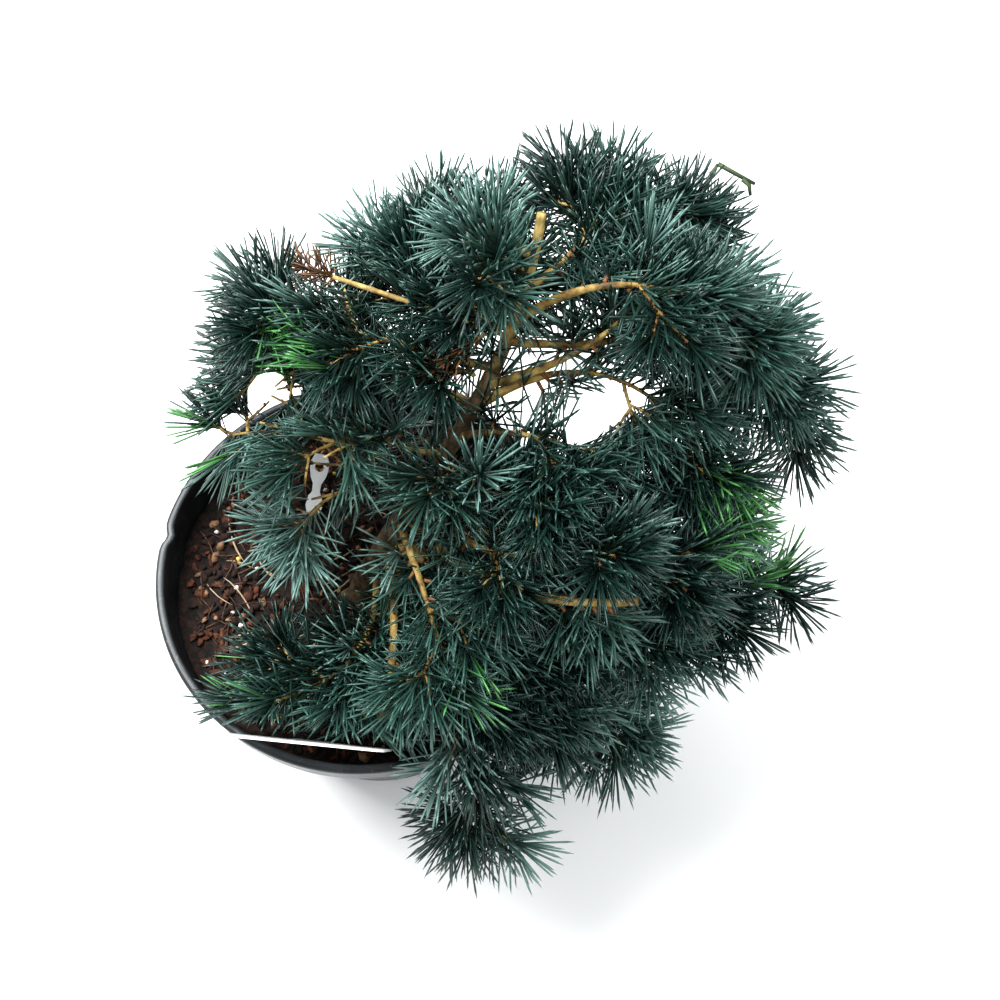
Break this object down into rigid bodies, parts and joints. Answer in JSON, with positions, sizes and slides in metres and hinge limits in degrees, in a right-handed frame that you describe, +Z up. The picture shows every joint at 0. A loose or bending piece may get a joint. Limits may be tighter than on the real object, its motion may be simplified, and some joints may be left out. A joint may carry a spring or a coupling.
{
  "type": "potted dwarf spreading blue deodar cedar",
  "caption": "Young spreading blue deodar cedar in a black nursery pot: leaning pruned trunk, drooping boughs and open masses of blue-green needles.",
  "frame": {"origin": "centre of the pot's flat underside", "axes": "+Z up; the picture is seen from -Y and above, so +X is to the right in it; the plant leans to +X and +Y"},
  "size_m": [0.37, 0.3435, 0.3772],
  "materials": {
    "pot": "black, semi-matt, dusty",
    "compost": "rough, moist bark compost",
    "bark": "grey-brown bark, rough",
    "young_bark": "yellow-tan young bark",
    "dead_bark": "dry, yellow",
    "needles": "waxy blue-green needles",
    "dead_needles": "dry, brown",
    "white_plastic": "smooth"
  },
  "bodies": {
    "root": {"bough_back_far_right": "young_bark", "bough_back_left": "young_bark", "bough_back_mid": "young_bark", "bough_back_right": "young_bark", "bough_centre_right": "young_bark", "bough_dead_left": "dead_bark", "bough_front": "young_bark", "bough_front_left": "young_bark", "bough_front_long": "young_bark", "bough_front_low": "young_bark", "bough_front_right": "young_bark", "bough_left_droop": "young_bark", "bough_left_front": "young_bark", "bough_left_high": "young_bark", "bough_left_low": "young_bark", "bough_left_mid": "young_bark", "bough_left_up": "young_bark", "bough_right_arch": "young_bark", "bough_right_fresh": "young_bark", "bough_right_high": "young_bark", "bough_right_low": "young_bark", "bough_right_mid": "young_bark", "compost": "compost", "label_card": "white_plastic", "loop_tag": "white_plastic", "needles_back_far_right": "needles", "needles_back_left": "needles", "needles_back_mid": "needles", "needles_back_right": "needles", "needles_centre_right": "needles", "needles_dead_left": "dead_needles", "needles_front": "needles", "needles_front_left": "needles", "needles_front_long": "needles", "needles_front_low": "needles", "needles_front_right": "needles", "needles_inner_back": "needles", "needles_inner_left": "needles", "needles_inner_right": "needles", "needles_inner_top": "needles", "needles_left_droop": "needles", "needles_left_front": "needles", "needles_left_high": "needles", "needles_left_low": "needles", "needles_left_mid": "needles", "needles_left_up": "needles", "needles_right_arch": "needles", "needles_right_fresh": "needles", "needles_right_high": "needles", "needles_right_low": "needles", "needles_right_mid": "needles", "pot": "pot", "pruned_front": "young_bark", "pruned_right": "young_bark", "trunk": "bark"}
  },
  "joints": []
}
